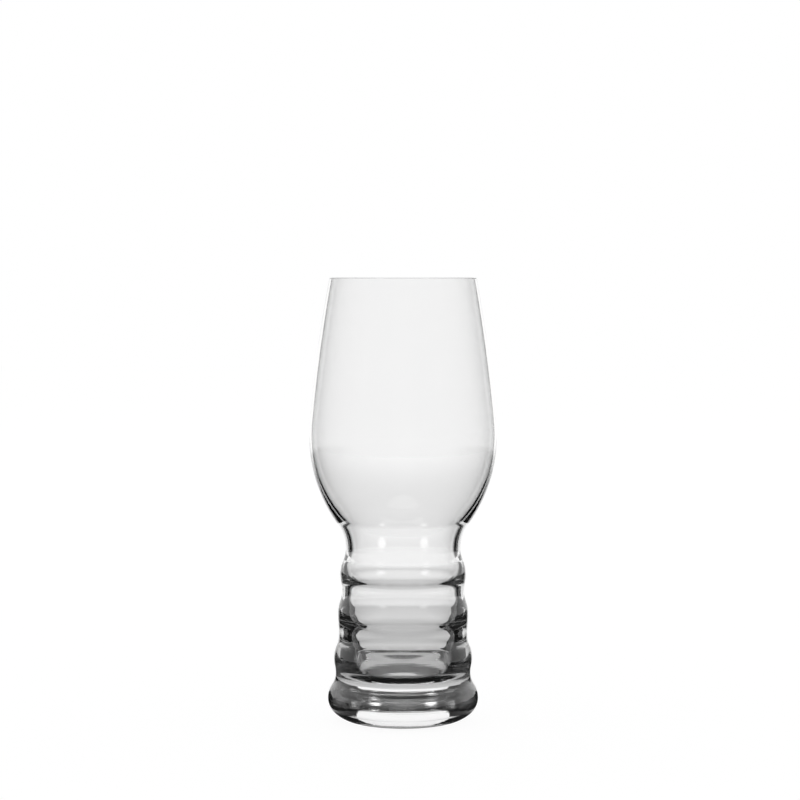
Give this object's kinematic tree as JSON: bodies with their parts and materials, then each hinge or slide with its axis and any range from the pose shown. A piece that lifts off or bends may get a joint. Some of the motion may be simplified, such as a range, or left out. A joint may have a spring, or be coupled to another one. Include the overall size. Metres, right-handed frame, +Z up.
{
  "type": "beer glass",
  "caption": "Clear footed beer glass: a tall tulip bowl over a ribbed hollow stem and a heavy solid foot.",
  "frame": {"origin": "centre of the standing ring, on the table", "axes": "+Z up along the glass's axis; the glass is round, so X and Y are alike"},
  "size_m": [0.0802, 0.0802, 0.19],
  "materials": {
    "clear_glass": "clear, fire polished"
  },
  "bodies": {
    "root": {"glass": "clear_glass"}
  },
  "joints": []
}
